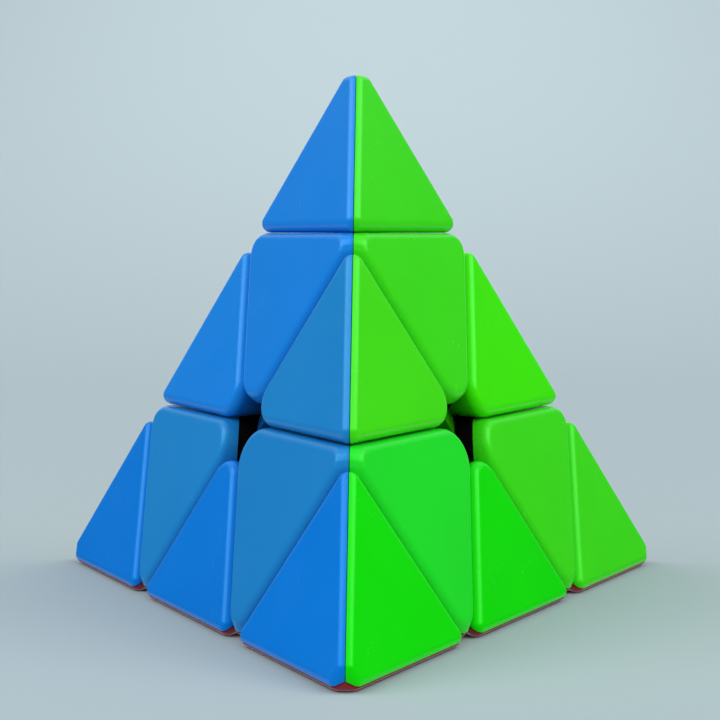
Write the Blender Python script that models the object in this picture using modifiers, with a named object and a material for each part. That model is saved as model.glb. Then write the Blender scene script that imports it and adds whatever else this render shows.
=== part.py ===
"""A pyramid twisty puzzle: a three-layer tetrahedron of tips, axial pieces and edge pieces.

Run it with: blender --background --python part.py

Units are metres and +Z is up. The origin is the centre of the core, where the four turning
axes meet. One corner of the pyramid points up (top), one points along -Y (front), and the
other two point back to +X (right) and -X (left). Each piece is modelled once, on the top
corner's axis or on the top-front edge, and the tetrahedron's twelve rotations place its copies.
Every joint axis passes through the origin, so every object keeps its origin there.
"""

import math

import bmesh
import bpy
from mathutils import Matrix, Vector

OBJECT_NAME = "pyramid_twisty_puzzle"
MM = 0.001

# Driving dimensions of the pyramid.
EDGE = 104.0 * MM  # edge of the sharp-cornered tetrahedron, 98 mm over the blunt corners
HEIGHT = EDGE * math.sqrt(2 / 3)
FACE = HEIGHT / 4  # centre to each outer face
LAYER_CUT = HEIGHT / 12  # centre to the plane under each turning layer
TIP_CUT = 5 * HEIGHT / 12  # centre to the plane under each tip
POINT_END = 3 * FACE - 4.4 * MM  # centre to the flat that blunts each of the pyramid's corners
FILLET = 1.5 * MM  # radius along every outer edge
EDGE_CORNER = 4.6 * MM  # in-plane corner radius of an edge piece at the face centres
AXIAL_CORNER = 4.35 * MM  # in-plane corner radius of an axial piece at the face centres
AXIAL_POINT = 2.0 * MM  # in-plane corner radius of an axial piece beside a tip

# Clearances and walls.
GAP = 0.3 * MM  # between pieces that slide past each other
SEAM = 0.2 * MM  # between shells of one piece
WALL = 1.7 * MM  # thickness of the coloured shells

# The mechanism is nested spheres: core, edge feet, hub flanges, caps.
CORE_RADIUS = 12.7 * MM
FOOT_INNER = 13.1 * MM
FOOT_OUTER = 16.5 * MM
FLANGE_INNER = 17.0 * MM
FLANGE_OUTER = 19.2 * MM
CAP_INNER = 19.6 * MM
HOLLOW_START = 18.0 * MM  # floor of an edge half's hollow, above its foot
FOOT_ANGLE = math.radians(78)  # how far a layer's feet reach from its turning axis
ANGLE_GAP = math.radians(0.6)  # half the running clearance at the feet's edges

# Turned parts along each turning axis, measured out from the centre.
SCREW_RADIUS = 1.5 * MM
SCREW_HEAD_RADIUS = 3.4 * MM
SCREW_START = 6.0 * MM
SCREW_HEAD_START = 25.6 * MM
SCREW_HEAD_END = 28.2 * MM
SLOT_LENGTH = 4.0 * MM
SLOT_WIDTH = 0.9 * MM
SLOT_DEPTH = 0.8 * MM
CORE_BORE_RADIUS = 1.8 * MM
CORE_BORE_START = 5.5 * MM
POCKET_RADIUS = 4.5 * MM
POCKET_START = 7.5 * MM
HUB_SHANK_BORE = 1.9 * MM
HUB_SPRING_BORE = 4.4 * MM
HUB_COLLAR_BORE = 3.9 * MM
HUB_WEB_END = 16.2 * MM
HUB_COLLAR_START = 32.4 * MM
HUB_TUBE_RADIUS = 6.0 * MM
SPRING_START = 16.5 * MM
SPRING_END = 25.3 * MM
SPRING_RADIUS = 2.7 * MM
SPRING_WIRE = 0.4 * MM
SPRING_TURNS = 4.5
PIVOT_START = 29.0 * MM
PIVOT_BEAD_RADIUS = 4.05 * MM
PIVOT_BEAD_END = 31.6 * MM
PIVOT_BEAD_LEAD = 0.8 * MM  # chamfer that lets the bead snap into the collar
PIVOT_BEAD_SHOULDER = 0.5 * MM
PIVOT_NECK_RADIUS = 3.5 * MM
PIVOT_FLANGE_RADIUS = 5.6 * MM
PIVOT_FLANGE_THICKNESS = 1.5 * MM

# Facets: few, because the fine surface isn't needed to turn.
ROUND_SEGMENTS = 18
CONE_SEGMENTS = 36
SPHERE_SUBDIVISIONS = 3
FILLET_STEPS = 2
CORNER_STEPS = 1
FLAT_ANGLE = math.radians(0.5)  # facets closer than this to one plane are merged
SHARP_ANGLE = math.radians(30)
SAME_POINT = 0.001 * MM
BIG = 200 * MM  # larger than the puzzle, for cutters
CONE_START = 1 * MM
CONE_END = 20 * MM
OVERLAP = 1 * MM  # how far one solid runs into another it is joined to

BLACK = (0.012, 0.012, 0.013, 1)
STEEL = (0.55, 0.56, 0.58, 1)
FACE_COLOURS = {
    "blue": (0.014, 0.21, 0.71, 1),
    "green": (0.04, 0.63, 0.02, 1),
    "red": (0.62, 0.02, 0.02, 1),
    "yellow": (0.85, 0.62, 0.02, 1),
}

CORNERS = {
    "top": Vector((0, 0, 1)),
    "front": Vector((0, -math.sqrt(8) / 3, -1 / 3)),
    "right": Vector((math.sqrt(2 / 3), math.sqrt(2) / 3, -1 / 3)),
    "left": Vector((-math.sqrt(2 / 3), math.sqrt(2) / 3, -1 / 3)),
}
# Each face is named for its colour and lies opposite one corner.
FACE_OPPOSITE = {"right": "blue", "left": "green", "front": "yellow", "top": "red"}
TOP, FRONT, RIGHT, LEFT = CORNERS.values()


# ---------------------------------------------------------------- scene and materials


def clear_scene():
    for old in list(bpy.data.objects):
        bpy.data.objects.remove(old, do_unlink=True)


def new_collection(name):
    collection = bpy.data.collections.new(name)
    bpy.context.scene.collection.children.link(collection)
    return collection


def plastic(name, colour, roughness, metallic=0.0):
    material = bpy.data.materials.new(name)
    material.use_nodes = True
    shader = material.node_tree.nodes["Principled BSDF"]
    shader.inputs["Base Color"].default_value = colour
    shader.inputs["Roughness"].default_value = roughness
    shader.inputs["Metallic"].default_value = metallic
    material.diffuse_color = colour
    return material


# ---------------------------------------------------------------- meshes


def mesh_from(bm, name):
    bmesh.ops.recalc_face_normals(bm, faces=bm.faces)
    mesh = bpy.data.meshes.new(name)
    bm.to_mesh(mesh)
    bm.free()
    return mesh


def keep_below(bm, plane):
    """Cuts a closed convex mesh at a plane (normal, distance) and keeps the side nearer the origin."""
    normal, distance = plane
    cut = bmesh.ops.bisect_plane(
        bm,
        geom=bm.verts[:] + bm.edges[:] + bm.faces[:],
        plane_co=normal * distance,
        plane_no=normal,
        clear_outer=True,
    )
    rim = [item for item in cut["geom_cut"] if isinstance(item, bmesh.types.BMEdge)]
    if rim:
        bmesh.ops.edgeloop_fill(bm, edges=rim)


def convex_solid(planes):
    """The closed convex solid inside all the planes, each a (unit normal, distance)."""
    bm = bmesh.new()
    bmesh.ops.create_cube(bm, size=BIG)
    for plane in planes:
        keep_below(bm, plane)
    return bm


def inset(planes, distance):
    return [(normal, offset - distance) for normal, offset in planes]


def rounding_directions(normals):
    """Unit directions that cover the patch of a sphere between the faces that meet at a corner."""
    middle = sum(normals, Vector()).normalized()
    around = sorted(normals, key=lambda n: angle_about(middle, normals[0], n))
    directions = []
    for first, second in zip(around, around[1:] + around[:1]):
        for i in range(FILLET_STEPS + 1):
            for j in range(FILLET_STEPS + 1 - i):
                rest = FILLET_STEPS - i - j
                directions.append((middle * rest + first * i + second * j).normalized())
    return directions


def angle_about(axis, start, direction):
    across = start - axis * start.dot(axis)
    if across.length < SAME_POINT:
        return 0.0
    flat = direction - axis * direction.dot(axis)
    return math.atan2(axis.cross(across).dot(flat), across.dot(flat)) % (2 * math.pi)


def rounded_solid(planes, radius):
    """The convex solid inside the planes with every edge and corner rolled to one radius."""
    inner = convex_solid(inset(planes, radius))
    points = []
    for vert in inner.verts:
        touching = [
            normal for normal, distance in planes
            if abs(vert.co.dot(normal) - distance + radius) < SAME_POINT
        ]
        points += [vert.co + direction * radius for direction in rounding_directions(touching)]
    inner.free()
    bm = bmesh.new()
    for point in points:
        bm.verts.new(point)
    bmesh.ops.remove_doubles(bm, verts=bm.verts, dist=SAME_POINT)
    hull = bmesh.ops.convex_hull(bm, input=bm.verts)
    inside = {item for item in hull["geom_interior"] if isinstance(item, bmesh.types.BMVert)}
    bmesh.ops.delete(bm, geom=list(inside), context="VERTS")
    bmesh.ops.dissolve_limit(bm, angle_limit=FLAT_ANGLE, verts=bm.verts, edges=bm.edges)
    return bm


def cone_solid(half_angle):
    """A cone about the top corner's axis, widening from the origin, with its point cut off."""
    bm = bmesh.new()
    bmesh.ops.create_cone(
        bm,
        cap_ends=True,
        segments=CONE_SEGMENTS,
        radius1=CONE_START * math.tan(half_angle),
        radius2=CONE_END * math.tan(half_angle),
        depth=CONE_END - CONE_START,
        matrix=Matrix.Translation((0, 0, (CONE_START + CONE_END) / 2)),
    )
    return bm


def cylinder_solid(radius, start, end):
    """A cylinder along the top corner's axis."""
    bm = bmesh.new()
    bmesh.ops.create_cone(
        bm,
        cap_ends=True,
        segments=ROUND_SEGMENTS,
        radius1=radius,
        radius2=radius,
        depth=end - start,
        matrix=Matrix.Translation((0, 0, (start + end) / 2)),
    )
    return bm


def sphere_solid(radius):
    bm = bmesh.new()
    bmesh.ops.create_icosphere(bm, subdivisions=SPHERE_SUBDIVISIONS, radius=radius)
    return bm


def turned(bm, rotation):
    bmesh.ops.transform(bm, matrix=rotation.to_4x4(), verts=bm.verts)
    return bm


def evaluated(obj, name):
    """The closed mesh an object's modifiers or curve make. The object is then removed."""
    bpy.context.view_layer.update()
    graph = bpy.context.evaluated_depsgraph_get()
    bm = bmesh.new()
    bm.from_mesh(bpy.data.meshes.new_from_object(obj.evaluated_get(graph)))
    bmesh.ops.remove_doubles(bm, verts=bm.verts, dist=SAME_POINT)
    bpy.data.objects.remove(obj, do_unlink=True)
    return mesh_from(bm, name)


def combine(name, start, steps):
    """One mesh from a solid and a list of (operation, solid), made with Boolean modifiers."""
    base = bpy.data.objects.new(name, mesh_from(start, name))
    cutters = bpy.data.collections["cutters"]
    cutters.objects.link(base)
    tools = []
    for number, (operation, solid) in enumerate(steps):
        tool = bpy.data.objects.new(f"{name}_tool_{number}", mesh_from(solid, "tool"))
        tool.hide_render = True
        tool.display_type = "WIRE"
        cutters.objects.link(tool)
        modifier = base.modifiers.new(operation.lower(), "BOOLEAN")
        modifier.operation = operation
        modifier.solver = "EXACT"
        modifier.object = tool
        tools.append(tool)
    mesh = evaluated(base, name)
    for tool in tools:
        bpy.data.objects.remove(tool, do_unlink=True)
    return mesh


# ---------------------------------------------------------------- planes of the pieces


def outer_faces(*opposite):
    return [(-corner, FACE) for corner in opposite]


def above(corner, distance):
    return (-corner, -distance)


def meeting_point(planes):
    """The point where three planes meet."""
    normals = Matrix([normal for normal, _ in planes])
    return normals.inverted() @ Vector([distance for _, distance in planes])


def corner_planes(face, wall, other_wall, radius, steps):
    """Planes that round the corner two walls make on an outer face.

    They lean from the face as the walls do, so they wrap a cone that touches both walls.
    """
    face_normal = face[0]
    lean = wall[0].dot(face_normal)
    outward = (wall[0] + other_wall[0] - face_normal * 2 * lean).normalized()
    half_turn = outward.angle(wall[0] - face_normal * lean)
    centre = meeting_point((face, wall, other_wall)) - outward * radius / math.cos(half_turn)
    planes = []
    for step in range(-steps, steps + 1):
        turn = Matrix.Rotation(step / (steps + 1) * half_turn, 3, face_normal)
        normal = turn @ outward * math.sqrt(1 - lean**2) + face_normal * lean
        planes.append((normal, normal.dot(centre + turn @ outward * radius)))
    return planes


def tip_planes():
    return [above(TOP, TIP_CUT + GAP / 2), (TOP, POINT_END)] + outer_faces(FRONT, RIGHT, LEFT)


def axial_planes(corner_steps=CORNER_STEPS):
    lid = (TOP, TIP_CUT - GAP / 2)
    walls = [(corner, LAYER_CUT - GAP / 2) for corner in (FRONT, RIGHT, LEFT)]
    planes = [lid, above(TOP, LAYER_CUT + GAP / 2)] + walls
    for opposite, first, second in zip(walls, walls[1:] + walls[:1], walls[2:] + walls[:2]):
        face = (-opposite[0], FACE)
        planes.append(face)
        planes += corner_planes(face, first, second, AXIAL_CORNER, corner_steps)
        planes += corner_planes(face, lid, first, AXIAL_POINT, 0)
        planes += corner_planes(face, lid, second, AXIAL_POINT, 0)
    return planes


def edge_planes(corner_steps=CORNER_STEPS):
    walls = [above(TOP, LAYER_CUT + GAP / 2), above(FRONT, LAYER_CUT + GAP / 2)]
    planes = list(walls)
    for face in outer_faces(RIGHT, LEFT):
        planes.append(face)
        planes += corner_planes(face, *walls, EDGE_CORNER, corner_steps)
    return planes


def wedge(first, second):
    """The third of a corner piece between two neighbouring corners, seen along the top axis."""
    planes = []
    for corner, sign in ((first, 1), (second, -1)):
        planes.append((TOP.cross(corner).normalized() * -sign, -SEAM / 2))
    return convex_solid(planes)


# ---------------------------------------------------------------- the pieces


def tip_shell():
    """One coloured third of a tip, on the face opposite the left corner."""
    return combine("tip_shell", rounded_solid(tip_planes(), FILLET), [
        ("DIFFERENCE", convex_solid(inset(tip_planes(), WALL))),
        ("DIFFERENCE", cylinder_solid(PIVOT_NECK_RADIUS + SEAM, 0, TIP_CUT + 2 * WALL)),
        ("INTERSECT", wedge(FRONT, RIGHT)),
    ])


def axial_cap():
    """One coloured third of an axial piece, on the face opposite the left corner."""
    return combine("axial_cap", rounded_solid(axial_planes(), FILLET), [
        ("DIFFERENCE", convex_solid(inset(axial_planes(0), WALL))),
        ("DIFFERENCE", sphere_solid(CAP_INNER)),
        ("DIFFERENCE", cylinder_solid(HUB_TUBE_RADIUS + SEAM, 0, TIP_CUT + WALL)),
        ("INTERSECT", wedge(FRONT, RIGHT)),
    ])


def clear_of(corner, half_angle):
    return ("DIFFERENCE", turned(cone_solid(half_angle), TOP.rotation_difference(corner).to_matrix()))


def edge_half():
    """One coloured half of the top-front edge piece, on the face opposite the left corner.

    A hollow outer part stands on a solid neck, with half of the foot that runs under both hubs.
    """
    middle = (TOP + FRONT).normalized()
    outer = rounded_solid(edge_planes(), FILLET)
    keep_below(outer, (-middle, -FOOT_INNER))
    hollow = convex_solid(inset(edge_planes(0), WALL) + [(-middle, -HOLLOW_START)])
    inside = cone_solid(FOOT_ANGLE - ANGLE_GAP)
    inside_front = turned(inside.copy(), TOP.rotation_difference(FRONT).to_matrix())
    return combine("edge_half", sphere_solid(FOOT_OUTER), [
        ("DIFFERENCE", sphere_solid(FOOT_INNER)),
        ("INTERSECT", inside),
        ("INTERSECT", inside_front),
        clear_of(RIGHT, FOOT_ANGLE + ANGLE_GAP),
        clear_of(LEFT, FOOT_ANGLE + ANGLE_GAP),
        ("UNION", outer),
        ("DIFFERENCE", hollow),
        ("INTERSECT", convex_solid([((LEFT - RIGHT).normalized(), -SEAM / 2)])),
    ])


def hub():
    """The black spool of an axial piece: a stalk, a flange under the caps and a tube for the screw."""
    stalk_angle = math.pi - math.acos(-TOP.dot(FRONT)) - FOOT_ANGLE - ANGLE_GAP
    return combine("hub", convex_solid(axial_planes(0)), [
        ("DIFFERENCE", sphere_solid(FLANGE_INNER)),
        ("UNION", cone_solid(stalk_angle)),
        ("INTERSECT", sphere_solid(FLANGE_OUTER)),
        ("UNION", cylinder_solid(HUB_TUBE_RADIUS, FOOT_OUTER, TIP_CUT - GAP / 2)),
        ("DIFFERENCE", sphere_solid(FOOT_INNER)),
        ("DIFFERENCE", cylinder_solid(HUB_SHANK_BORE, 0, TIP_CUT)),
        ("DIFFERENCE", cylinder_solid(HUB_SPRING_BORE, HUB_WEB_END, HUB_COLLAR_START)),
        ("DIFFERENCE", cylinder_solid(HUB_COLLAR_BORE, HUB_WEB_END, TIP_CUT + WALL)),
    ])


def core():
    """The fixed ball, with a screw bore on each axis and a pocket under each face centre."""
    cuts = []
    for corner in CORNERS.values():
        turn = TOP.rotation_difference(corner).to_matrix()
        back = TOP.rotation_difference(-corner).to_matrix()
        bore = cylinder_solid(CORE_BORE_RADIUS, CORE_BORE_START, FOOT_OUTER)
        pocket = cylinder_solid(POCKET_RADIUS, POCKET_START, FOOT_OUTER)
        cuts.append(("DIFFERENCE", turned(bore, turn)))
        cuts.append(("DIFFERENCE", turned(pocket, back)))
    return combine("core", sphere_solid(CORE_RADIUS), cuts)


def screw():
    slot = bmesh.new()
    bmesh.ops.create_cube(slot, size=1)
    bmesh.ops.scale(slot, vec=(SLOT_LENGTH, SLOT_WIDTH, 2 * SLOT_DEPTH), verts=slot.verts)
    bmesh.ops.translate(slot, vec=(0, 0, SCREW_HEAD_END), verts=slot.verts)
    shank = cylinder_solid(SCREW_RADIUS, SCREW_START, SCREW_HEAD_START + OVERLAP)
    return combine("screw", shank, [
        ("UNION", cylinder_solid(SCREW_HEAD_RADIUS, SCREW_HEAD_START, SCREW_HEAD_END)),
        ("DIFFERENCE", slot),
    ])


def spring():
    """A coil spring round the screw, between the hub's web and the screw's head."""
    points_per_turn = 8
    count = int(SPRING_TURNS * points_per_turn)
    curve = bpy.data.curves.new("spring", "CURVE")
    curve.dimensions = "3D"
    curve.bevel_depth = SPRING_WIRE
    curve.bevel_resolution = 1
    curve.use_fill_caps = True
    line = curve.splines.new("POLY")
    line.points.add(count)
    low = SPRING_START + SPRING_WIRE
    high = SPRING_END - SPRING_WIRE
    for number, point in enumerate(line.points):
        turn = 2 * math.pi * number / points_per_turn
        height = low + (high - low) * number / count
        point.co = (SPRING_RADIUS * math.cos(turn), SPRING_RADIUS * math.sin(turn), height, 1)
    coil = bpy.data.objects.new("coil", curve)
    bpy.data.collections["cutters"].objects.link(coil)
    return evaluated(coil, "spring")


def tip_pivot():
    """The turned stud that snaps into a hub's collar and carries a tip."""
    flange_start = TIP_CUT + GAP / 2 + WALL + SEAM
    profile = [
        (0, PIVOT_START),
        (PIVOT_BEAD_RADIUS - PIVOT_BEAD_LEAD, PIVOT_START),
        (PIVOT_BEAD_RADIUS, PIVOT_START + PIVOT_BEAD_LEAD),
        (PIVOT_BEAD_RADIUS, PIVOT_BEAD_END),
        (PIVOT_NECK_RADIUS, PIVOT_BEAD_END + PIVOT_BEAD_SHOULDER),
        (PIVOT_NECK_RADIUS, flange_start),
        (PIVOT_FLANGE_RADIUS, flange_start),
        (PIVOT_FLANGE_RADIUS, flange_start + PIVOT_FLANGE_THICKNESS),
        (0, flange_start + PIVOT_FLANGE_THICKNESS),
    ]
    outline = bpy.data.meshes.new("pivot_outline")
    corners = [(radius, 0, height) for radius, height in profile]
    outline.from_pydata(corners, [(i, i + 1) for i in range(len(corners) - 1)], [])
    stud = bpy.data.objects.new("stud", outline)
    bpy.data.collections["cutters"].objects.link(stud)
    screw_modifier = stud.modifiers.new("turn", "SCREW")
    screw_modifier.steps = ROUND_SEGMENTS
    screw_modifier.render_steps = ROUND_SEGMENTS
    screw_modifier.use_merge_vertices = True
    screw_modifier.merge_threshold = SAME_POINT
    return evaluated(stud, "tip_pivot")


# ---------------------------------------------------------------- placing the copies


def rotations():
    """The tetrahedron's twelve rotations, as (where the top corner goes, where the left goes, matrix)."""
    for top_to, up in CORNERS.items():
        for left_to, side in CORNERS.items():
            if left_to == top_to:
                continue
            start = Matrix((TOP, LEFT, TOP.cross(LEFT))).transposed()
            end = Matrix((up, side, up.cross(side))).transposed()
            yield top_to, left_to, end @ start.inverted()


def corner_at(direction):
    return max(CORNERS, key=lambda name: CORNERS[name].dot(direction))


def place(name, mesh, rotation, material, collection):
    piece = bpy.data.objects.new(name, mesh)
    piece.matrix_world = rotation.to_4x4()
    if not mesh.materials:
        mesh.materials.append(None)
    piece.material_slots[0].link = "OBJECT"
    piece.material_slots[0].material = material
    collection.objects.link(piece)
    return piece


def edge_name(first, second):
    order = list(CORNERS)
    return "_".join(sorted((first, second), key=order.index))


def main():
    clear_scene()
    parts = new_collection(OBJECT_NAME)
    new_collection("cutters")
    black = plastic("black_nylon", BLACK, 0.45)
    steel = plastic("zinc_plated_steel", STEEL, 0.3, 1.0)
    colours = {name: plastic(name, colour, 0.25) for name, colour in FACE_COLOURS.items()}

    corner_meshes = {
        "hub": (hub(), black),
        "screw": (screw(), steel),
        "spring": (spring(), steel),
        "tip_pivot": (tip_pivot(), black),
    }
    tip_mesh, axial_mesh, edge_mesh = tip_shell(), axial_cap(), edge_half()

    place("core", core(), Matrix.Identity(3), black, parts)
    placed = set()
    for top_to, left_to, rotation in rotations():
        face = FACE_OPPOSITE[left_to]
        edge = edge_name(top_to, corner_at(rotation @ FRONT))
        place(f"tip_{top_to}_{face}", tip_mesh, rotation, colours[face], parts)
        place(f"axial_{top_to}_{face}", axial_mesh, rotation, colours[face], parts)
        place(f"edge_{edge}_{face}", edge_mesh, rotation, colours[face], parts)
        if top_to not in placed:
            placed.add(top_to)
            for kind, (mesh, material) in corner_meshes.items():
                place(f"{kind}_{top_to}", mesh, rotation, material, parts)
    for piece in parts.objects:
        piece.data.shade_smooth()
        piece.data.set_sharp_from_angle(angle=SHARP_ANGLE)


main()
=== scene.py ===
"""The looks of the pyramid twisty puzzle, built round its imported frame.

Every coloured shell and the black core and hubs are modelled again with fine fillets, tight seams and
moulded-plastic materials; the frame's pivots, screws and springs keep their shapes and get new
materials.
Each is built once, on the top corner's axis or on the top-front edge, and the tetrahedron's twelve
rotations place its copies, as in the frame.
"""

import math

import bmesh
import bpy
from mathutils import Matrix, Vector


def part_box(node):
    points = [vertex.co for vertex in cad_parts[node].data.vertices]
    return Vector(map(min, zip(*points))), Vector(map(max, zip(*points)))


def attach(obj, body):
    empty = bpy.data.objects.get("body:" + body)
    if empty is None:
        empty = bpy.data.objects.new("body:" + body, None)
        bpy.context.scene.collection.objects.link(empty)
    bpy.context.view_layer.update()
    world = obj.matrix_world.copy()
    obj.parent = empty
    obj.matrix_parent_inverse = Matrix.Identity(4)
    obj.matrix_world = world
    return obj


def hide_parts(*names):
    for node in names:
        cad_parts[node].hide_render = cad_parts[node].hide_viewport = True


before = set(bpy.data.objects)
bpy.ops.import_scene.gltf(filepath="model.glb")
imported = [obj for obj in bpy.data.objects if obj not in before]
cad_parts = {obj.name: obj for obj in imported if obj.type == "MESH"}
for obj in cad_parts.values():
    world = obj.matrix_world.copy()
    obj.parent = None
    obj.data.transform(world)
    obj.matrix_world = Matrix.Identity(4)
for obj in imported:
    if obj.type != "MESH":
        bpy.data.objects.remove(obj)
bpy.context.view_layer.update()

MM = 0.001

# The pyramid's driving planes, from the frame: it rests on its bottom face.
FACE = -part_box("tip_front_red")[0].z
HEIGHT = 4 * FACE
LAYER_CUT = HEIGHT / 12
TIP_CUT = 5 * HEIGHT / 12
FILLET = 1.5 * MM
POINT_END = 3 * FACE - 4.4 * MM
EDGE_CORNER = 4.6 * MM
AXIAL_CORNER = 4.35 * MM
AXIAL_POINT = 2.0 * MM
GAP = 0.2 * MM  # between pieces that slide past each other
TIP_GAP = 0.06 * MM  # the tips sit tight on their axial pieces
SEAM = 0.08 * MM  # between shells of one piece
SEAM_FILLET = 0.15 * MM
WALL = 1.7 * MM
NECK_CLEARANCE = 0.2 * MM  # round the tip's pivot
TUBE_CLEARANCE = 0.1 * MM  # round the hub's tube

# The mechanism's nested spheres and turned parts.
CORE_RADIUS = 12.7 * MM
FOOT_INNER = 13.1 * MM
FOOT_OUTER = 16.5 * MM
FLANGE_INNER = 16.9 * MM
FLANGE_OUTER = 19.2 * MM
CAP_INNER = 19.4 * MM
HOLLOW_START = 18.0 * MM
FOOT_ANGLE = math.radians(77.4)  # how far a layer's feet reach from its turning axis
FOOT_CLEAR_ANGLE = math.radians(78.6)  # and how far they stay from the axes of other layers
STALK_ANGLE = math.radians(30.9)
CORE_BORE_RADIUS = 1.8 * MM
CORE_BORE_START = 5.5 * MM
POCKET_RADIUS = 4.5 * MM
POCKET_START = 7.5 * MM
HUB_SHANK_BORE = 1.9 * MM
HUB_SPRING_BORE = 4.4 * MM
HUB_COLLAR_BORE = 3.9 * MM
HUB_WEB_END = 16.2 * MM
HUB_COLLAR_START = 32.4 * MM
HUB_TUBE_RADIUS = 6.0 * MM
PIVOT_NECK_RADIUS = 3.5 * MM
FOOT_SEAM = 0.05 * MM  # how much further the foot's halves stand apart than the shells

# Smoothness.
FILLET_STEPS = 7
SEAM_STEPS = 3
CORNER_STEPS = 5
POINT_STEPS = 2
ROUND_SEGMENTS = 64
CONE_SEGMENTS = 96
SPHERE_SUBDIVISIONS = 5
CONE_START = 1 * MM
CONE_END = 20 * MM
BIG = 200 * MM
ON_AXIS = 1e-9  # a direction shorter than this, across an axis, lies on it
TOUCHING = 0.001 * MM
MERGE_DISTANCE = 0.002 * MM
FLAT_ANGLE = math.radians(0.3)
SHARP_ANGLE = math.radians(35)

CORNERS = {
    "top": Vector((0, 0, 1)),
    "front": Vector((0, -math.sqrt(8) / 3, -1 / 3)),
    "right": Vector((math.sqrt(2 / 3), math.sqrt(2) / 3, -1 / 3)),
    "left": Vector((-math.sqrt(2 / 3), math.sqrt(2) / 3, -1 / 3)),
}
FACE_OPPOSITE = {"right": "blue", "left": "green", "front": "yellow", "top": "red"}
TOP, FRONT, RIGHT, LEFT = CORNERS.values()

# Stage, light and camera. Colours marked 0 to 255 are as they look, and the rest are linear.
STAGE_COLOUR = (162, 177, 182)  # 0 to 255
STAGE_BOUNCE = (0.62, 0.64, 0.66, 1)
STAGE_REACH = 4.0
STAGE_DEPTH = 1.6
STAGE_BEND = 1.2
STAGE_STEPS = 32
STAGE_DROP = 0.02 * MM  # so that the floor doesn't share a plane with the puzzle's base
LIGHT_POWER = 3.9
LIGHT_DISTANCE = 0.9
LIGHT_SIZE = 0.68
LIGHT_SPREAD = 180  # degrees
BACKDROP_POWER = 2.6
BACKDROP_SIZE = 0.8
BACKDROP_SPREAD = 120  # degrees
BACKDROP_PLACE = Vector((0, 0.75, 0.9))
BACKDROP_TARGET = Vector((0, 1.15, 0.1))
SOFTBOX_DIRECTION = Vector((0.66, -0.15, 0.74))  # of the right one; the left one mirrors it
ROOM_ABOVE = (0.8, 0.85, 0.9, 1)
ROOM_LOW = (0.02, 0.022, 0.025, 1)
ROOM_BELOW = (0.36, 0.41, 0.43, 1)
ROOM_BEHIND = (0.7, 0.8, 0.85, 1)
ROOM_GLOW = (0.67, 0.68, 0.68, 1)  # what matt surfaces get from every side
ROOM_SEEN = (132, 147, 152)  # 0 to 255, the tone of the stage's far end
# The height or depth of a direction at which one tone of the room starts and ends giving way.
ROOM_HIGH_START, ROOM_HIGH_END = 0.25, 0.7
ROOM_LOW_START, ROOM_LOW_END = -0.35, -0.15
ROOM_BACK_START, ROOM_BACK_END = 0.7, 0.9
ROOM_BACK_LOW, ROOM_BACK_HIGH = -0.1, 0.05
CAMERA_LENS = 83.8
CAMERA_SENSOR = 36
CAMERA_NEAR = 0.01
CAMERA_PLACE = Vector((6.364, -258.018, 34.667)) * MM
CAMERA_AIM = Vector((-0.02245, 0.99709, -0.07289))

# Plastic colours as they look, 0 to 255. Pieces of one face differ a little in shade, partly in a tone
# of their own and partly as painted light: the lower pieces' 'deep' shades are brightened a little
# against the light's fall-off.
SHADES = {
    "blue": {
        "clear": (28, 127, 219),
        "warm": (28, 129, 222),
        "dull": (34, 130, 200),
        "cool": (33, 127, 196),
        "deep": (2, 120, 216),
    },
    "green": {
        "clear": (62, 216, 30),
        "warm": (64, 230, 4),
        "dull": (68, 219, 26),
        "cool": (36, 219, 46),
        "deep": (18, 221, 2),
    },
    # The bottom face's red is deeper than the plastic's own, as painted shade along the base.
    "red": {
        "clear": (160, 14, 28),
        "warm": (164, 16, 26),
        "dull": (154, 18, 32),
        "cool": (150, 14, 34),
        "deep": (142, 10, 28),
    },
    "yellow": {
        "clear": (240, 204, 20),
        "warm": (243, 206, 10),
        "dull": (234, 200, 30),
        "cool": (230, 200, 34),
        "deep": (242, 200, 6),
    },
}

# The tint of each face's highlights and sheen.
TINTS = {
    "blue": (0.15, 0.6, 1, 1),
    "green": (0.2, 1, 0.2, 1),
    "red": (0.7, 0.85, 1, 1),
    "yellow": (1, 0.85, 0.3, 1),
}

# The mechanism's black is darker than black plastic is, as painted shade deep in the holes.
BLACK = (0.001, 0.001, 0.001, 1)
WHITE = (1, 1, 1, 1)
STEEL = (0.55, 0.56, 0.58, 1)
# Painted shade deep in the holes: nearer the centre than the first of these, plastic is the third as
# bright. By the second it is full.
PAINTED_SHADE_START = 16.5 * MM
PAINTED_SHADE_END = 20.5 * MM
PAINTED_SHADE_TONE = 0.35
SHEEN = 1.0
SHEEN_ROUGHNESS = 0.1
PLASTIC_GLOSS, PLASTIC_ROUGHNESS, PLASTIC_GRAIN = 0.5, 0.24, 0.05
BLACK_GLOSS, BLACK_ROUGHNESS, BLACK_GRAIN = 0.05, 0.6, 0.3
# Noise, as (scale, detail): for a plastic's tone, its roughness and its grain, and for the steel.
TONE_NOISE = (60, 2)
ROUGHNESS_NOISE = (140, 5)
GRAIN_NOISE = (5000, 3)
STEEL_NOISE = (400, 4)
NOISE_LOW, NOISE_HIGH = 0.3, 0.7  # most of a noise's values lie between these
TONE_LOW, TONE_HIGH = 0.975, 1.02
ROUGHNESS_DOWN, ROUGHNESS_UP = 0.03, 0.04
GRAIN_DEPTH = 0.02 * MM
STEEL_ROUGHNESS = (0.2, 0.42)
STEEL_TONE = (0.85, 1.1)
# Sockets of the colour-mixing node.
MIX_AMOUNT, MIX_FIRST, MIX_SECOND, MIX_RESULT = 0, 6, 7, 2

# ---------------------------------------------------------------- convex solids


def mesh_from(bm, name):
    bmesh.ops.recalc_face_normals(bm, faces=bm.faces)
    mesh = bpy.data.meshes.new(name)
    bm.to_mesh(mesh)
    bm.free()
    return mesh


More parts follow.
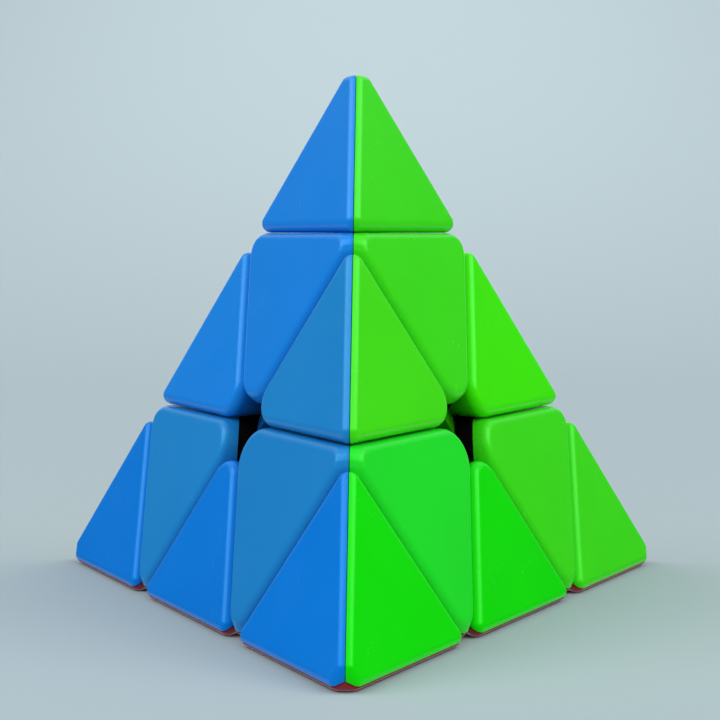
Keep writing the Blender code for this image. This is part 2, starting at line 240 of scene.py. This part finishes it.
def keep_below(bm, plane):
    normal, distance = plane
    cut = bmesh.ops.bisect_plane(
        bm,
        geom=bm.verts[:] + bm.edges[:] + bm.faces[:],
        plane_co=normal * distance,
        plane_no=normal,
        clear_outer=True,
    )
    rim = [item for item in cut["geom_cut"] if isinstance(item, bmesh.types.BMEdge)]
    if rim:
        bmesh.ops.edgeloop_fill(bm, edges=rim)


def convex_solid(planes):
    bm = bmesh.new()
    bmesh.ops.create_cube(bm, size=BIG)
    for plane in planes:
        keep_below(bm, plane)
    return bm


def inset(planes, distance):
    return [(normal, offset - distance) for normal, offset in planes]


def angle_about(axis, start, direction):
    across = start - axis * start.dot(axis)
    if across.length < ON_AXIS:
        return 0.0
    flat = direction - axis * direction.dot(axis)
    return math.atan2(axis.cross(across).dot(flat), across.dot(flat)) % (2 * math.pi)


def rounding_directions(normals):
    """Unit directions that cover the patch of a sphere between the faces that meet at a corner."""
    middle = sum(normals, Vector()).normalized()
    around = sorted(normals, key=lambda n: angle_about(middle, normals[0], n))
    directions = []
    for first, second in zip(around, around[1:] + around[:1]):
        for ring in range(FILLET_STEPS + 1):
            outward = ring / FILLET_STEPS
            for step in range(ring + 1):
                rim = first.slerp(second, step / ring) if ring else first
                directions.append(middle.slerp(rim, outward))
    return directions


def hull_of(points):
    bm = bmesh.new()
    for point in points:
        bm.verts.new(point)
    bmesh.ops.remove_doubles(bm, verts=bm.verts, dist=MERGE_DISTANCE)
    hull = bmesh.ops.convex_hull(bm, input=bm.verts)
    inside = {item for item in hull["geom_interior"] if isinstance(item, bmesh.types.BMVert)}
    bmesh.ops.delete(bm, geom=list(inside), context="VERTS")
    bmesh.ops.dissolve_limit(bm, angle_limit=FLAT_ANGLE, verts=bm.verts, edges=bm.edges)
    return bm


def rounded_solid(planes, radius):
    """The convex solid inside the planes with every edge and corner rolled to one radius."""
    inner = convex_solid(inset(planes, radius))
    points = []
    for vert in inner.verts:
        touching = [
            normal for normal, distance in planes
            if abs(vert.co.dot(normal) - distance + radius) < TOUCHING
        ]
        points += [vert.co + direction * radius for direction in rounding_directions(touching)]
    inner.free()
    return hull_of(points)


def shell_solid(planes, seams):
    """A rounded solid cut at its seam planes, with a small fillet along each seam's edge."""
    points = []
    for step in range(SEAM_STEPS + 1):
        turn = math.pi / 2 * step / SEAM_STEPS
        shrink = SEAM_FILLET * (1 - math.cos(turn))
        back = SEAM_FILLET * (1 - math.sin(turn))
        bm = rounded_solid(inset(planes, shrink), FILLET - shrink)
        for seam in inset(seams, back):
            keep_below(bm, seam)
        points += [vert.co.copy() for vert in bm.verts]
        bm.free()
    return hull_of(points)


# ---------------------------------------------------------------- cutters and Booleans


def cone_solid(half_angle):
    bm = bmesh.new()
    bmesh.ops.create_cone(
        bm,
        cap_ends=True,
        segments=CONE_SEGMENTS,
        radius1=CONE_START * math.tan(half_angle),
        radius2=CONE_END * math.tan(half_angle),
        depth=CONE_END - CONE_START,
        matrix=Matrix.Translation((0, 0, (CONE_START + CONE_END) / 2)),
    )
    return bm


def cylinder_solid(radius, start, end):
    bm = bmesh.new()
    bmesh.ops.create_cone(
        bm,
        cap_ends=True,
        segments=ROUND_SEGMENTS,
        radius1=radius,
        radius2=radius,
        depth=end - start,
        matrix=Matrix.Translation((0, 0, (start + end) / 2)),
    )
    return bm


def sphere_solid(radius):
    bm = bmesh.new()
    bmesh.ops.create_icosphere(bm, subdivisions=SPHERE_SUBDIVISIONS, radius=radius)
    return bm


def turned(bm, rotation):
    bmesh.ops.transform(bm, matrix=rotation.to_4x4(), verts=bm.verts)
    return bm


def combine(name, start, steps):
    """One mesh from a solid and a list of (operation, solid), made with Boolean modifiers."""
    base = bpy.data.objects.new(name, mesh_from(start, name))
    bpy.context.scene.collection.objects.link(base)
    for operation, solid in steps:
        tool = bpy.data.objects.new("tool", mesh_from(solid, "tool"))
        bpy.context.scene.collection.objects.link(tool)
        modifier = base.modifiers.new(operation.lower(), "BOOLEAN")
        modifier.operation = operation
        modifier.solver = "EXACT"
        modifier.object = tool
    bpy.context.view_layer.update()
    graph = bpy.context.evaluated_depsgraph_get()
    mesh = bpy.data.meshes.new_from_object(base.evaluated_get(graph))
    mesh.name = name
    for tool in [modifier.object for modifier in base.modifiers]:
        bpy.data.objects.remove(tool, do_unlink=True)
    bpy.data.objects.remove(base, do_unlink=True)
    return mesh


# ---------------------------------------------------------------- planes of the pieces


def outer_faces(*opposite):
    return [(-corner, FACE) for corner in opposite]


def above(corner, distance):
    return (-corner, -distance)


def meeting_point(planes):
    normals = Matrix([normal for normal, _ in planes])
    return normals.inverted() @ Vector([distance for _, distance in planes])


def corner_planes(face, wall, other_wall, radius, steps):
    """Planes that round the corner two walls make on an outer face.

    They lean from the face as the walls do, so they wrap a cone that touches both walls.
    """
    face_normal = face[0]
    lean = wall[0].dot(face_normal)
    outward = (wall[0] + other_wall[0] - face_normal * 2 * lean).normalized()
    half_turn = outward.angle(wall[0] - face_normal * lean)
    centre = meeting_point((face, wall, other_wall)) - outward * radius / math.cos(half_turn)
    planes = []
    for step in range(-steps, steps + 1):
        turn = Matrix.Rotation(step / (steps + 1) * half_turn, 3, face_normal)
        normal = turn @ outward * math.sqrt(1 - lean**2) + face_normal * lean
        planes.append((normal, normal.dot(centre + turn @ outward * radius)))
    return planes


def tip_planes():
    return [above(TOP, TIP_CUT + TIP_GAP / 2), (TOP, POINT_END)] + outer_faces(FRONT, RIGHT, LEFT)


def axial_planes(corner_steps=CORNER_STEPS):
    lid = (TOP, TIP_CUT - TIP_GAP / 2)
    walls = [(corner, LAYER_CUT - GAP / 2) for corner in (FRONT, RIGHT, LEFT)]
    planes = [lid, above(TOP, LAYER_CUT + GAP / 2)] + walls
    for opposite, first, second in zip(walls, walls[1:] + walls[:1], walls[2:] + walls[:2]):
        face = (-opposite[0], FACE)
        planes.append(face)
        planes += corner_planes(face, first, second, AXIAL_CORNER, corner_steps)
        planes += corner_planes(face, lid, first, AXIAL_POINT, POINT_STEPS)
        planes += corner_planes(face, lid, second, AXIAL_POINT, POINT_STEPS)
    return planes


def edge_planes(corner_steps=CORNER_STEPS):
    walls = [above(TOP, LAYER_CUT + GAP / 2), above(FRONT, LAYER_CUT + GAP / 2)]
    planes = list(walls)
    for face in outer_faces(RIGHT, LEFT):
        planes.append(face)
        planes += corner_planes(face, *walls, EDGE_CORNER, corner_steps)
    return planes


def third_seams():
    """The seam planes that keep a corner piece's third on the face opposite the left corner."""
    return [
        (-TOP.cross(FRONT).normalized(), -SEAM / 2),
        (TOP.cross(RIGHT).normalized(), -SEAM / 2),
    ]


def half_seam():
    return [((LEFT - RIGHT).normalized(), -SEAM / 2)]


# ---------------------------------------------------------------- the pieces


def tip_shell():
    return combine("tip_shell", shell_solid(tip_planes(), third_seams()), [
        ("DIFFERENCE", convex_solid(inset(tip_planes(), WALL))),
        ("DIFFERENCE", cylinder_solid(PIVOT_NECK_RADIUS + NECK_CLEARANCE, 0, TIP_CUT + 2 * WALL)),
    ])


def axial_cap():
    return combine("axial_cap", shell_solid(axial_planes(), third_seams()), [
        ("DIFFERENCE", convex_solid(inset(axial_planes(0), WALL))),
        ("DIFFERENCE", sphere_solid(CAP_INNER)),
        ("DIFFERENCE", cylinder_solid(HUB_TUBE_RADIUS + TUBE_CLEARANCE, 0, TIP_CUT + WALL)),
    ])


def clear_of(corner):
    cone = cone_solid(FOOT_CLEAR_ANGLE)
    return ("DIFFERENCE", turned(cone, TOP.rotation_difference(corner).to_matrix()))


def edge_half():
    """A hollow outer part on a solid neck, with half of the foot that runs under both hubs."""
    middle = (TOP + FRONT).normalized()
    outer = shell_solid(edge_planes(), half_seam())
    keep_below(outer, (-middle, -FOOT_INNER))
    inside = cone_solid(FOOT_ANGLE)
    inside_front = turned(inside.copy(), TOP.rotation_difference(FRONT).to_matrix())
    return combine("edge_half", sphere_solid(FOOT_OUTER), [
        ("DIFFERENCE", sphere_solid(FOOT_INNER)),
        ("INTERSECT", inside),
        ("INTERSECT", inside_front),
        clear_of(RIGHT),
        clear_of(LEFT),
        ("INTERSECT", convex_solid(inset(half_seam(), FOOT_SEAM))),
        ("UNION", outer),
        ("DIFFERENCE", convex_solid(inset(edge_planes(0), WALL) + [(-middle, -HOLLOW_START)])),
    ])


def hub():
    return combine("hub", convex_solid(axial_planes()), [
        ("DIFFERENCE", sphere_solid(FLANGE_INNER)),
        ("UNION", cone_solid(STALK_ANGLE)),
        ("INTERSECT", sphere_solid(FLANGE_OUTER)),
        ("UNION", cylinder_solid(HUB_TUBE_RADIUS, FOOT_OUTER, TIP_CUT - GAP / 2)),
        ("DIFFERENCE", sphere_solid(FOOT_INNER)),
        ("DIFFERENCE", cylinder_solid(HUB_SHANK_BORE, 0, TIP_CUT)),
        ("DIFFERENCE", cylinder_solid(HUB_SPRING_BORE, HUB_WEB_END, HUB_COLLAR_START)),
        ("DIFFERENCE", cylinder_solid(HUB_COLLAR_BORE, HUB_WEB_END, TIP_CUT + WALL)),
    ])


def core():
    cuts = []
    for corner in CORNERS.values():
        turn = TOP.rotation_difference(corner).to_matrix()
        back = TOP.rotation_difference(-corner).to_matrix()
        bore = cylinder_solid(CORE_BORE_RADIUS, CORE_BORE_START, FOOT_OUTER)
        pocket = cylinder_solid(POCKET_RADIUS, POCKET_START, FOOT_OUTER)
        cuts.append(("DIFFERENCE", turned(bore, turn)))
        cuts.append(("DIFFERENCE", turned(pocket, back)))
    return combine("core", sphere_solid(CORE_RADIUS), cuts)


# ---------------------------------------------------------------- materials


def linear(shade):
    return tuple((value / 255) ** 2.2 for value in shade) + (1,)


def moulded_plastic(name, colour, tint, sheen, gloss, roughness, grain):
    material = bpy.data.materials.new(name)
    material.use_nodes = True
    material.diffuse_color = colour
    nodes = material.node_tree.nodes
    links = material.node_tree.links
    shader = nodes["Principled BSDF"]
    shader.inputs["Specular IOR Level"].default_value = gloss
    shader.inputs["Specular Tint"].default_value = tint

    place = nodes.new("ShaderNodeTexCoord")
    chance = nodes.new("ShaderNodeObjectInfo")
    shift = nodes.new("ShaderNodeVectorMath")
    shift.operation = "ADD"
    links.new(place.outputs["Object"], shift.inputs[0])
    links.new(chance.outputs["Random"], shift.inputs[1])

    def noise(scale, detail):
        node = nodes.new("ShaderNodeTexNoise")
        node.inputs["Scale"].default_value = scale
        node.inputs["Detail"].default_value = detail
        links.new(shift.outputs[0], node.inputs["Vector"])
        return node.outputs["Fac"]

    def spread(value, low, high):
        node = nodes.new("ShaderNodeMapRange")
        node.inputs["From Min"].default_value = NOISE_LOW
        node.inputs["From Max"].default_value = NOISE_HIGH
        node.inputs["To Min"].default_value = low
        node.inputs["To Max"].default_value = high
        links.new(value, node.inputs["Value"])
        return node.outputs["Result"]

    # Every piece's origin is the puzzle's centre, so this finds the inner faces and darkens them with
    # painted shade.
    depth = nodes.new("ShaderNodeVectorMath")
    depth.operation = "LENGTH"
    links.new(place.outputs["Object"], depth.inputs[0])
    inner = nodes.new("ShaderNodeMapRange")
    inner.inputs["From Min"].default_value = PAINTED_SHADE_START
    inner.inputs["From Max"].default_value = PAINTED_SHADE_END
    inner.inputs["To Min"].default_value = PAINTED_SHADE_TONE
    links.new(depth.outputs["Value"], inner.inputs["Value"])
    value = nodes.new("ShaderNodeMath")
    value.operation = "MULTIPLY"
    links.new(spread(noise(*TONE_NOISE), TONE_LOW, TONE_HIGH), value.inputs[0])
    links.new(inner.outputs["Result"], value.inputs[1])
    tone = nodes.new("ShaderNodeHueSaturation")
    tone.inputs["Color"].default_value = colour
    links.new(value.outputs["Value"], tone.inputs["Value"])
    links.new(tone.outputs["Color"], shader.inputs["Base Color"])
    shader.inputs["Sheen Weight"].default_value = sheen
    shader.inputs["Sheen Roughness"].default_value = SHEEN_ROUGHNESS
    shader.inputs["Sheen Tint"].default_value = tint

    rough = spread(noise(*ROUGHNESS_NOISE), roughness - ROUGHNESS_DOWN, roughness + ROUGHNESS_UP)
    links.new(rough, shader.inputs["Roughness"])

    bump = nodes.new("ShaderNodeBump")
    bump.inputs["Strength"].default_value = grain
    bump.inputs["Distance"].default_value = GRAIN_DEPTH
    links.new(noise(*GRAIN_NOISE), bump.inputs["Height"])
    links.new(bump.outputs["Normal"], shader.inputs["Normal"])
    return material


def plated_steel():
    material = bpy.data.materials.new("plated_steel")
    material.use_nodes = True
    material.diffuse_color = STEEL
    nodes = material.node_tree.nodes
    links = material.node_tree.links
    shader = nodes["Principled BSDF"]
    shader.inputs["Metallic"].default_value = 1.0
    place = nodes.new("ShaderNodeTexCoord")
    wear = nodes.new("ShaderNodeTexNoise")
    wear.inputs["Scale"].default_value, wear.inputs["Detail"].default_value = STEEL_NOISE
    links.new(place.outputs["Object"], wear.inputs["Vector"])
    tone = nodes.new("ShaderNodeHueSaturation")
    tone.inputs["Color"].default_value = STEEL
    shine = nodes.new("ShaderNodeMapRange")
    shine.inputs["To Min"].default_value, shine.inputs["To Max"].default_value = STEEL_ROUGHNESS
    bright = nodes.new("ShaderNodeMapRange")
    bright.inputs["To Min"].default_value, bright.inputs["To Max"].default_value = STEEL_TONE
    links.new(wear.outputs["Fac"], shine.inputs["Value"])
    links.new(wear.outputs["Fac"], bright.inputs["Value"])
    links.new(bright.outputs["Result"], tone.inputs["Value"])
    links.new(tone.outputs["Color"], shader.inputs["Base Color"])
    links.new(shine.outputs["Result"], shader.inputs["Roughness"])
    return material


# ---------------------------------------------------------------- placing the copies


def rotations():
    for top_to, up in CORNERS.items():
        for left_to, side in CORNERS.items():
            if left_to == top_to:
                continue
            start = Matrix((TOP, LEFT, TOP.cross(LEFT))).transposed()
            end = Matrix((up, side, up.cross(side))).transposed()
            yield top_to, left_to, end @ start.inverted()


def corner_at(direction):
    return max(CORNERS, key=lambda name: CORNERS[name].dot(direction))


def edge_name(first, second):
    order = list(CORNERS)
    return "_".join(sorted((first, second), key=order.index))


def shade_of(piece):
    # The lower pieces' shade is brightened a little, a painted light against the light falling off lower
    # down.
    if piece.startswith(("tip_front", "tip_left", "edge_front")):
        return "deep"
    if piece.startswith(("axial_left", "edge_top_front")):
        return "dull"
    if piece.startswith("axial_front"):
        return "cool"
    if piece.startswith(("edge_top_right", "edge_top_left")):
        return "warm"
    return "clear"


def finish_mesh(mesh):
    mesh.shade_smooth()
    mesh.set_sharp_from_angle(angle=SHARP_ANGLE)


def place(mesh, rotation, node, body, slot, material):
    """A copy of the mesh, turned to the node's place, with its origin at the puzzle's centre."""
    mesh = mesh.copy()
    mesh.name = f"{node}_fine"
    mesh.transform(rotation.to_4x4())
    mesh.materials.append(material)
    piece = bpy.data.objects.new(mesh.name, mesh)
    bpy.context.scene.collection.objects.link(piece)
    weighted = piece.modifiers.new("weighted", "WEIGHTED_NORMAL")
    weighted.keep_sharp = True
    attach(piece, body)
    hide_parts(node)
    return piece


def build_puzzle():
    meshes = {
        "tip": tip_shell(),
        "axial": axial_cap(),
        "edge": edge_half(),
        "hub": hub(),
        "core": core(),
    }
    for mesh in meshes.values():
        finish_mesh(mesh)
    surface = (SHEEN, PLASTIC_GLOSS, PLASTIC_ROUGHNESS, PLASTIC_GRAIN)
    colours = {
        (face, shade): moulded_plastic(
            f"plastic_{face}_{shade}", linear(values), TINTS[face], *surface
        )
        for face, shades in SHADES.items()
        for shade, values in shades.items()
    }
    surface = (0, BLACK_GLOSS, BLACK_ROUGHNESS, BLACK_GRAIN)
    black = moulded_plastic("mechanism_black", BLACK, WHITE, *surface)
    steel = plated_steel()

    def place_black(kind, node, body, rotation):
        place(meshes[kind], rotation, node, body, "mechanism_black", black)

    place_black("core", "core", "core", Matrix.Identity(3))
    placed = set()
    for top_to, left_to, rotation in rotations():
        face = FACE_OPPOSITE[left_to]
        edge = edge_name(top_to, corner_at(rotation @ FRONT))
        homes = (
            ("tip", f"tip_{top_to}_{face}", f"{top_to}_tip"),
            ("axial", f"axial_{top_to}_{face}", f"{top_to}_axial"),
            ("edge", f"edge_{edge}_{face}", f"{edge}_edge"),
        )
        for kind, node, body in homes:
            material = colours[face, shade_of(node)]
            place(meshes[kind], rotation, node, body, f"plastic_{face}", material)
        if top_to not in placed:
            placed.add(top_to)
            place_black("hub", f"hub_{top_to}", f"{top_to}_axial", rotation)
            for kind, material in (("tip_pivot", black), ("screw", steel), ("spring", steel)):
                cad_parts[f"{kind}_{top_to}"].data.materials[0] = material


# ---------------------------------------------------------------- stage, light and camera


def add_stage():
    """A pale floor that sweeps up into a back wall."""
    profile = [Vector((0, -STAGE_REACH, 0)), Vector((0, STAGE_DEPTH - STAGE_BEND, 0))]
    for step in range(1, STAGE_STEPS + 1):
        turn = math.pi / 2 * step / STAGE_STEPS
        profile.append(Vector((
            0,
            STAGE_DEPTH - STAGE_BEND * (1 - math.sin(turn)),
            STAGE_BEND * (1 - math.cos(turn)),
        )))
    profile.append(Vector((0, STAGE_DEPTH, STAGE_REACH)))
    bm = bmesh.new()
    sides = [
        [bm.verts.new(point + Vector((side * STAGE_REACH, 0, -FACE - STAGE_DROP))) for point in profile]
        for side in (-1, 1)
    ]
    for near, far in zip(range(len(profile) - 1), range(1, len(profile))):
        bm.faces.new((sides[0][near], sides[1][near], sides[1][far], sides[0][far]))
    stage = bpy.data.objects.new("stage", mesh_from(bm, "stage"))
    stage.data.shade_smooth()
    stage.data.materials.append(stage_material())
    # The plastic must not mirror the stage, which is far larger than a tabletop.
    stage.visible_glossy = False
    bpy.context.scene.collection.objects.link(stage)


def stage_material():
    material = bpy.data.materials.new("pale_stage")
    material.use_nodes = True
    shader = material.node_tree.nodes["Principled BSDF"]
    shader.inputs["Roughness"].default_value = 0.9
    shader.inputs["Specular IOR Level"].default_value = 0.0
    # The floor looks grey, and sends back as much light as a white table would.
    path = material.node_tree.nodes.new("ShaderNodeLightPath")
    colour = mixed(material.node_tree, path.outputs["Is Camera Ray"], STAGE_BOUNCE, linear(STAGE_COLOUR))
    material.node_tree.links.new(colour, shader.inputs["Base Color"])
    return material


def mixed(tree, amount, first, second):
    node = tree.nodes.new("ShaderNodeMix")
    node.data_type = "RGBA"
    tree.links.new(amount, node.inputs[MIX_AMOUNT])
    for number, colour in ((MIX_FIRST, first), (MIX_SECOND, second)):
        if isinstance(colour, tuple):
            node.inputs[number].default_value = colour
        else:
            tree.links.new(colour, node.inputs[number])
    return node.outputs[MIX_RESULT]


def add_softbox(name, spot, target, size, power, spread):
    data = bpy.data.lights.new(name, "AREA")
    data.shape = "DISK"
    data.size = size
    data.energy = power
    data.spread = math.radians(spread)
    light = bpy.data.objects.new(name, data)
    light.location = spot
    light.rotation_euler = (target - spot).to_track_quat("-Z", "Y").to_euler()
    bpy.context.scene.collection.objects.link(light)


def add_light():
    """Two softboxes, left and right above the puzzle, and one on the backdrop."""
    for side, name in ((-1, "left_softbox"), (1, "right_softbox")):
        right = SOFTBOX_DIRECTION.normalized() * LIGHT_DISTANCE
        spot = Vector((side * right.x, right.y, right.z))
        add_softbox(name, spot, Vector(), LIGHT_SIZE, LIGHT_POWER, LIGHT_SPREAD)
    add_softbox(
        "backdrop_softbox",
        BACKDROP_PLACE, BACKDROP_TARGET, BACKDROP_SIZE, BACKDROP_POWER, BACKDROP_SPREAD,
    )
    add_room()


def add_room():
    """A room that is bright above and behind the puzzle, dim below and dark at its sides.

    That is what reflections meet. Matt surfaces get one even tone from it.
    """
    world = bpy.data.worlds.new("studio")
    bpy.context.scene.world = world
    world.use_nodes = True
    nodes = world.node_tree.nodes
    links = world.node_tree.links
    place = nodes.new("ShaderNodeTexCoord")
    along = nodes.new("ShaderNodeSeparateXYZ")
    links.new(place.outputs["Generated"], along.inputs["Vector"])

    def ease(value, start, end):
        node = nodes.new("ShaderNodeMapRange")
        node.interpolation_type = "SMOOTHSTEP"
        node.inputs["From Min"].default_value = start
        node.inputs["From Max"].default_value = end
        links.new(value, node.inputs["Value"])
        return node.outputs["Result"]

    tree = world.node_tree
    behind = nodes.new("ShaderNodeMath")
    behind.operation = "MULTIPLY"
    links.new(ease(along.outputs["Y"], ROOM_BACK_START, ROOM_BACK_END), behind.inputs[0])
    links.new(ease(along.outputs["Z"], ROOM_BACK_LOW, ROOM_BACK_HIGH), behind.inputs[1])
    path = nodes.new("ShaderNodeLightPath")
    up = ease(along.outputs["Z"], ROOM_HIGH_START, ROOM_HIGH_END)
    room = mixed(tree, up, ROOM_LOW, ROOM_ABOVE)
    room = mixed(tree, behind.outputs["Value"], room, ROOM_BEHIND)
    down = ease(along.outputs["Z"], ROOM_LOW_START, ROOM_LOW_END)
    room = mixed(tree, down, ROOM_BELOW, room)
    room = mixed(tree, path.outputs["Is Diffuse Ray"], room, ROOM_GLOW)
    room = mixed(tree, path.outputs["Is Camera Ray"], room, linear(ROOM_SEEN))
    links.new(room, nodes["Background"].inputs["Color"])


def add_camera():
    data = bpy.data.cameras.new("camera")
    data.lens = CAMERA_LENS
    data.sensor_width = CAMERA_SENSOR
    data.clip_start = CAMERA_NEAR
    camera = bpy.data.objects.new("camera", data)
    camera.location = CAMERA_PLACE
    camera.rotation_euler = CAMERA_AIM.to_track_quat("-Z", "Y").to_euler()
    bpy.context.scene.collection.objects.link(camera)
    bpy.context.scene.camera = camera


bpy.context.scene.view_settings.view_transform = "Standard"
build_puzzle()
add_stage()
add_light()
add_camera()
